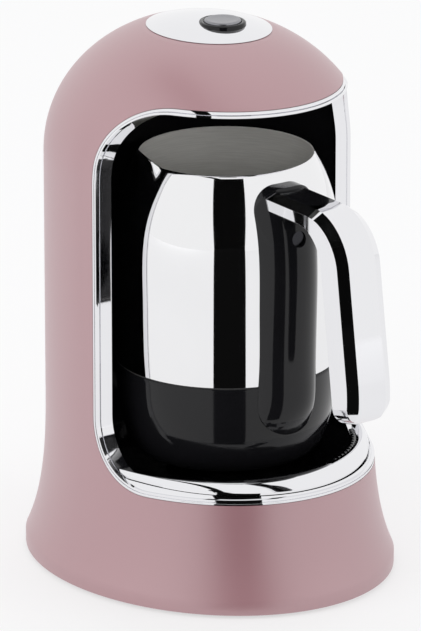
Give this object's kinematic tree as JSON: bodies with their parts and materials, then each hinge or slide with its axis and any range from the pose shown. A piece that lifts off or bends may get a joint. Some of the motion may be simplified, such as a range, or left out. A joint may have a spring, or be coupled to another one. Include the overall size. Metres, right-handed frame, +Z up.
{
  "type": "electric turkish coffee maker",
  "caption": "Domed coffee maker with an oval body, an open front niche in a plated bezel, a top button and a lift-out steel pot with a hooked handle.",
  "frame": {"origin": "on the floor, under the middle of the overall box", "axes": "+Z up, -Y towards the user (the niche and the pot's handle), +X to the user's right when facing the machine"},
  "size_m": [0.184, 0.2564, 0.296],
  "materials": {
    "body_satin": "satin dusty pink, fine texture",
    "chrome_plate": "bright plated",
    "button_metal": "satin",
    "black_gloss": "polished black",
    "black_matte": "moulded black",
    "steel": "polished outside, brushed inside",
    "screw_steel": "zinc plated",
    "screw_black": "black oxide",
    "heater_metal": "cast",
    "heater_sheath": "dull tube",
    "contact_metal": "bright",
    "circuit_board": "green lacquer",
    "coil_wrap": "yellow tape",
    "can_sleeve": "shrink sleeve",
    "wire_sheath": "matt",
    "seal_rubber": "matt",
    "clear_lens": "clear"
  },
  "bodies": {
    "machine": {"outer_housing": "body_satin", "bezel_ring": "chrome_plate", "control_panel": "chrome_plate", "niche_liner": "black_gloss", "button_collar": "black_gloss", "base_connector": "black_gloss", "base_plate": "black_matte", "cord_gland": "black_matte", "connector_nut": "black_matte", "switch_body": "black_matte", "loom_plug": "black_matte", "loom_socket": "black_matte", "relay": "black_matte", "mains_terminal_block": "black_matte", "buzzer": "black_matte", "overflow_sensor": "black_matte", "board_screws": "screw_steel", "base_screws": "screw_steel", "power_board_screws": "screw_steel", "button_spring": "screw_steel", "contact_rings": "contact_metal", "control_board": "circuit_board", "power_board": "circuit_board", "transformer": "coil_wrap", "capacitor": "can_sleeve", "connector_leads": "wire_sheath", "wiring_loom": "wire_sheath", "rubber_feet": "seal_rubber", "sensor_window": "clear_lens", "status_leds": "clear_lens"},
    "button": {"button_cap": "button_metal"},
    "switch_stem": {"switch_stem": "black_matte"},
    "pot": {"pot_vessel": "steel", "pot_base_housing": "black_gloss", "pot_base_cover": "black_matte", "pot_base_screws": "screw_steel", "pot_seal_ring": "seal_rubber", "heating_plate": "heater_metal", "heating_element": "heater_sheath", "thermal_cutout": "heater_metal", "temperature_probe": "screw_steel", "pot_connector": "black_matte", "pot_pins": "contact_metal", "pot_leads": "wire_sheath", "handle_mount": "black_gloss", "handle_stud": "steel", "handle_screw": "screw_black", "handle_shell": "chrome_plate", "handle_core": "black_gloss", "grip_screw": "screw_steel"}
  },
  "joints": [
    {"name": "button_press", "type": "slide", "parent": "machine", "child": "button", "axis": [0, 0, -1], "range_m": [0, 0.001], "stiffness_N_per_m": 400, "springref_m": -0.003, "deforming": ["button_spring"]},
    {"name": "switch_stem_press", "type": "slide", "parent": "machine", "child": "switch_stem", "axis": [0, 0, -1], "range_m": [0, 0.001]},
    {"name": "pot_lift_out", "type": "slide", "parent": "machine", "child": "pot", "axis": [0, -0.9781, 0.2079], "range_m": [0, 0.2]}
  ],
  "couplings": [
    {"joint": "switch_stem_press", "follows": "button_press", "ratio": 1}
  ]
}
